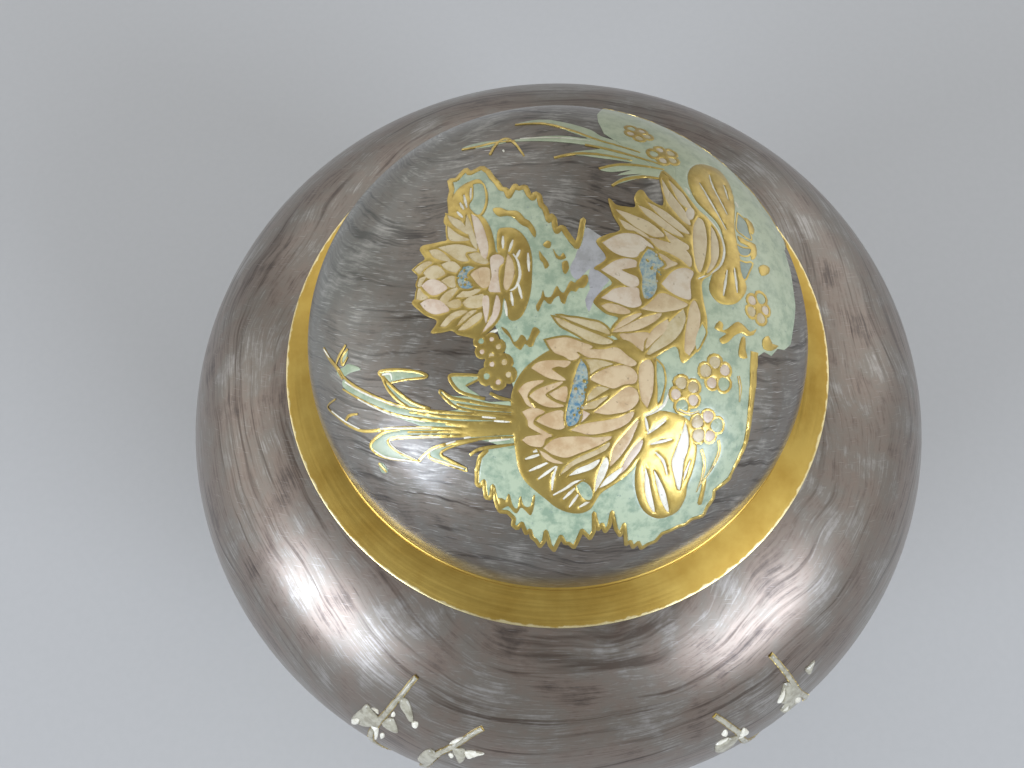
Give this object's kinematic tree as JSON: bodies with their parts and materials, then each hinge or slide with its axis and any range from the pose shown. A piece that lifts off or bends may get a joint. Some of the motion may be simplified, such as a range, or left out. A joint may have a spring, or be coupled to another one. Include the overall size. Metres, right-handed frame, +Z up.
{
  "type": "lidded metal pot",
  "caption": "Broad-shouldered round metal jar on a foot ring with a bare brass band at its mouth and a domed cap lid with raised flower ornament that lifts off the neck.",
  "frame": {"origin": "middle of the foot ring's flat underside, on the jar's axis of revolution", "axes": "+Z up along the axis of revolution, -Y towards the side that the picture is taken from, +X to the right in the picture"},
  "size_m": [0.19, 0.19, 0.2069],
  "materials": {
    "pearl_lacquer": "brown-grey pearl lacquer brushed over spun brass, glossy",
    "bare_brass": "polished bare brass, lightly worn",
    "dull_brass": "dull unpolished brass"
  },
  "bodies": {
    "pot": {"body_shoulder_shell": "pearl_lacquer", "body_bowl_shell": "pearl_lacquer", "base_plate": "dull_brass", "foot_ring": "bare_brass", "shoulder_band": "bare_brass", "neck_collar": "bare_brass"},
    "lid": {"lid_dome": "pearl_lacquer", "lid_bezel": "dull_brass"}
  },
  "joints": [
    {"name": "lid_lift", "type": "slide", "parent": "pot", "child": "lid", "axis": [0, 0, 1], "range_m": [0, 0.1]}
  ]
}
